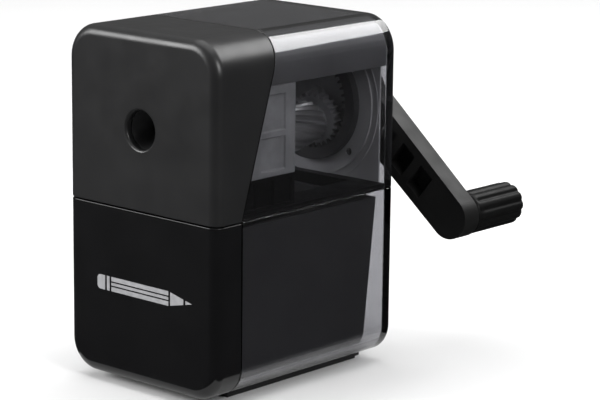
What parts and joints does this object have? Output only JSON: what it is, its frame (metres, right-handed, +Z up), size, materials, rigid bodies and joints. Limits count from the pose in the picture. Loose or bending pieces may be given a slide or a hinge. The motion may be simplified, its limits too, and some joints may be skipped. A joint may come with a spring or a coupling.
{
  "type": "hand-crank pencil sharpener",
  "caption": "Desktop pencil sharpener: a rear crank turns a planetary helical cutter inside a clear-windowed casing over a pull-out shavings drawer.",
  "frame": {"origin": "on the table under the middle of the casing", "axes": "+Z up; the pencil enters towards +Y through the front face at -Y; the crank is behind, at +Y; +X is on the right seen from the front"},
  "size_m": [0.0818, 0.1294, 0.1125],
  "materials": {
    "black_gloss": "glossy",
    "black_satin": "satin",
    "smoky_clear": "clear smoked plastic",
    "grey_plastic": "satin",
    "rubber": "matt",
    "zinc": "die-cast",
    "steel": "ground",
    "screw_steel": "plated",
    "brass": "turned"
  },
  "bodies": {
    "housing": {"base_plate": "black_satin", "non_slip_pad": "rubber", "base_screws": "screw_steel", "lower_casing": "smoky_clear", "rear_cover": "smoky_clear", "front_cover": "black_satin", "housing_screws": "screw_steel", "deck_screws": "screw_steel", "deck": "black_satin", "top_frame": "black_satin", "front_bulkhead": "black_satin", "side_plates": "black_satin", "gear_housing": "grey_plastic", "ring_gear": "black_satin", "rear_bush": "brass", "pencil_guide": "black_satin", "guide_nut": "zinc"},
    "crank": {"crank_shaft": "steel", "carrier": "zinc", "carrier_pin": "steel", "cutter_axle": "steel", "thrust_washers": "brass", "shaft_clip": "screw_steel", "crank_arm": "black_gloss", "hub_washer": "screw_steel", "hub_screw": "screw_steel", "knob_pin": "screw_steel"},
    "cutter": {"helical_cutter": "steel", "cutter_pinion": "steel"},
    "knob": {"knob": "black_gloss"},
    "drawer": {"drawer_tray": "black_satin", "drawer_front": "black_gloss", "drawer_screws": "screw_steel"}
  },
  "joints": [
    {"name": "crank_turn", "type": "hinge", "parent": "housing", "child": "crank", "pos_m": [0, 0.04, 0.0825], "axis": [0, 1, 0], "continuous": true},
    {"name": "cutter_spin", "type": "hinge", "parent": "crank", "child": "cutter", "pos_m": [0.00315, 0.0348, 0.07704], "axis": [-0.0868, 0.9848, 0.1504], "continuous": true},
    {"name": "knob_spin", "type": "hinge", "parent": "crank", "child": "knob", "pos_m": [0.04259, 0.07, 0.04676], "axis": [0, 1, 0], "continuous": true},
    {"name": "drawer_slide", "type": "slide", "parent": "housing", "child": "drawer", "axis": [0, -1, 0], "range_m": [0, 0.06]}
  ],
  "couplings": [
    {"joint": "cutter_spin", "follows": "crank_turn", "ratio": -1.75}
  ]
}
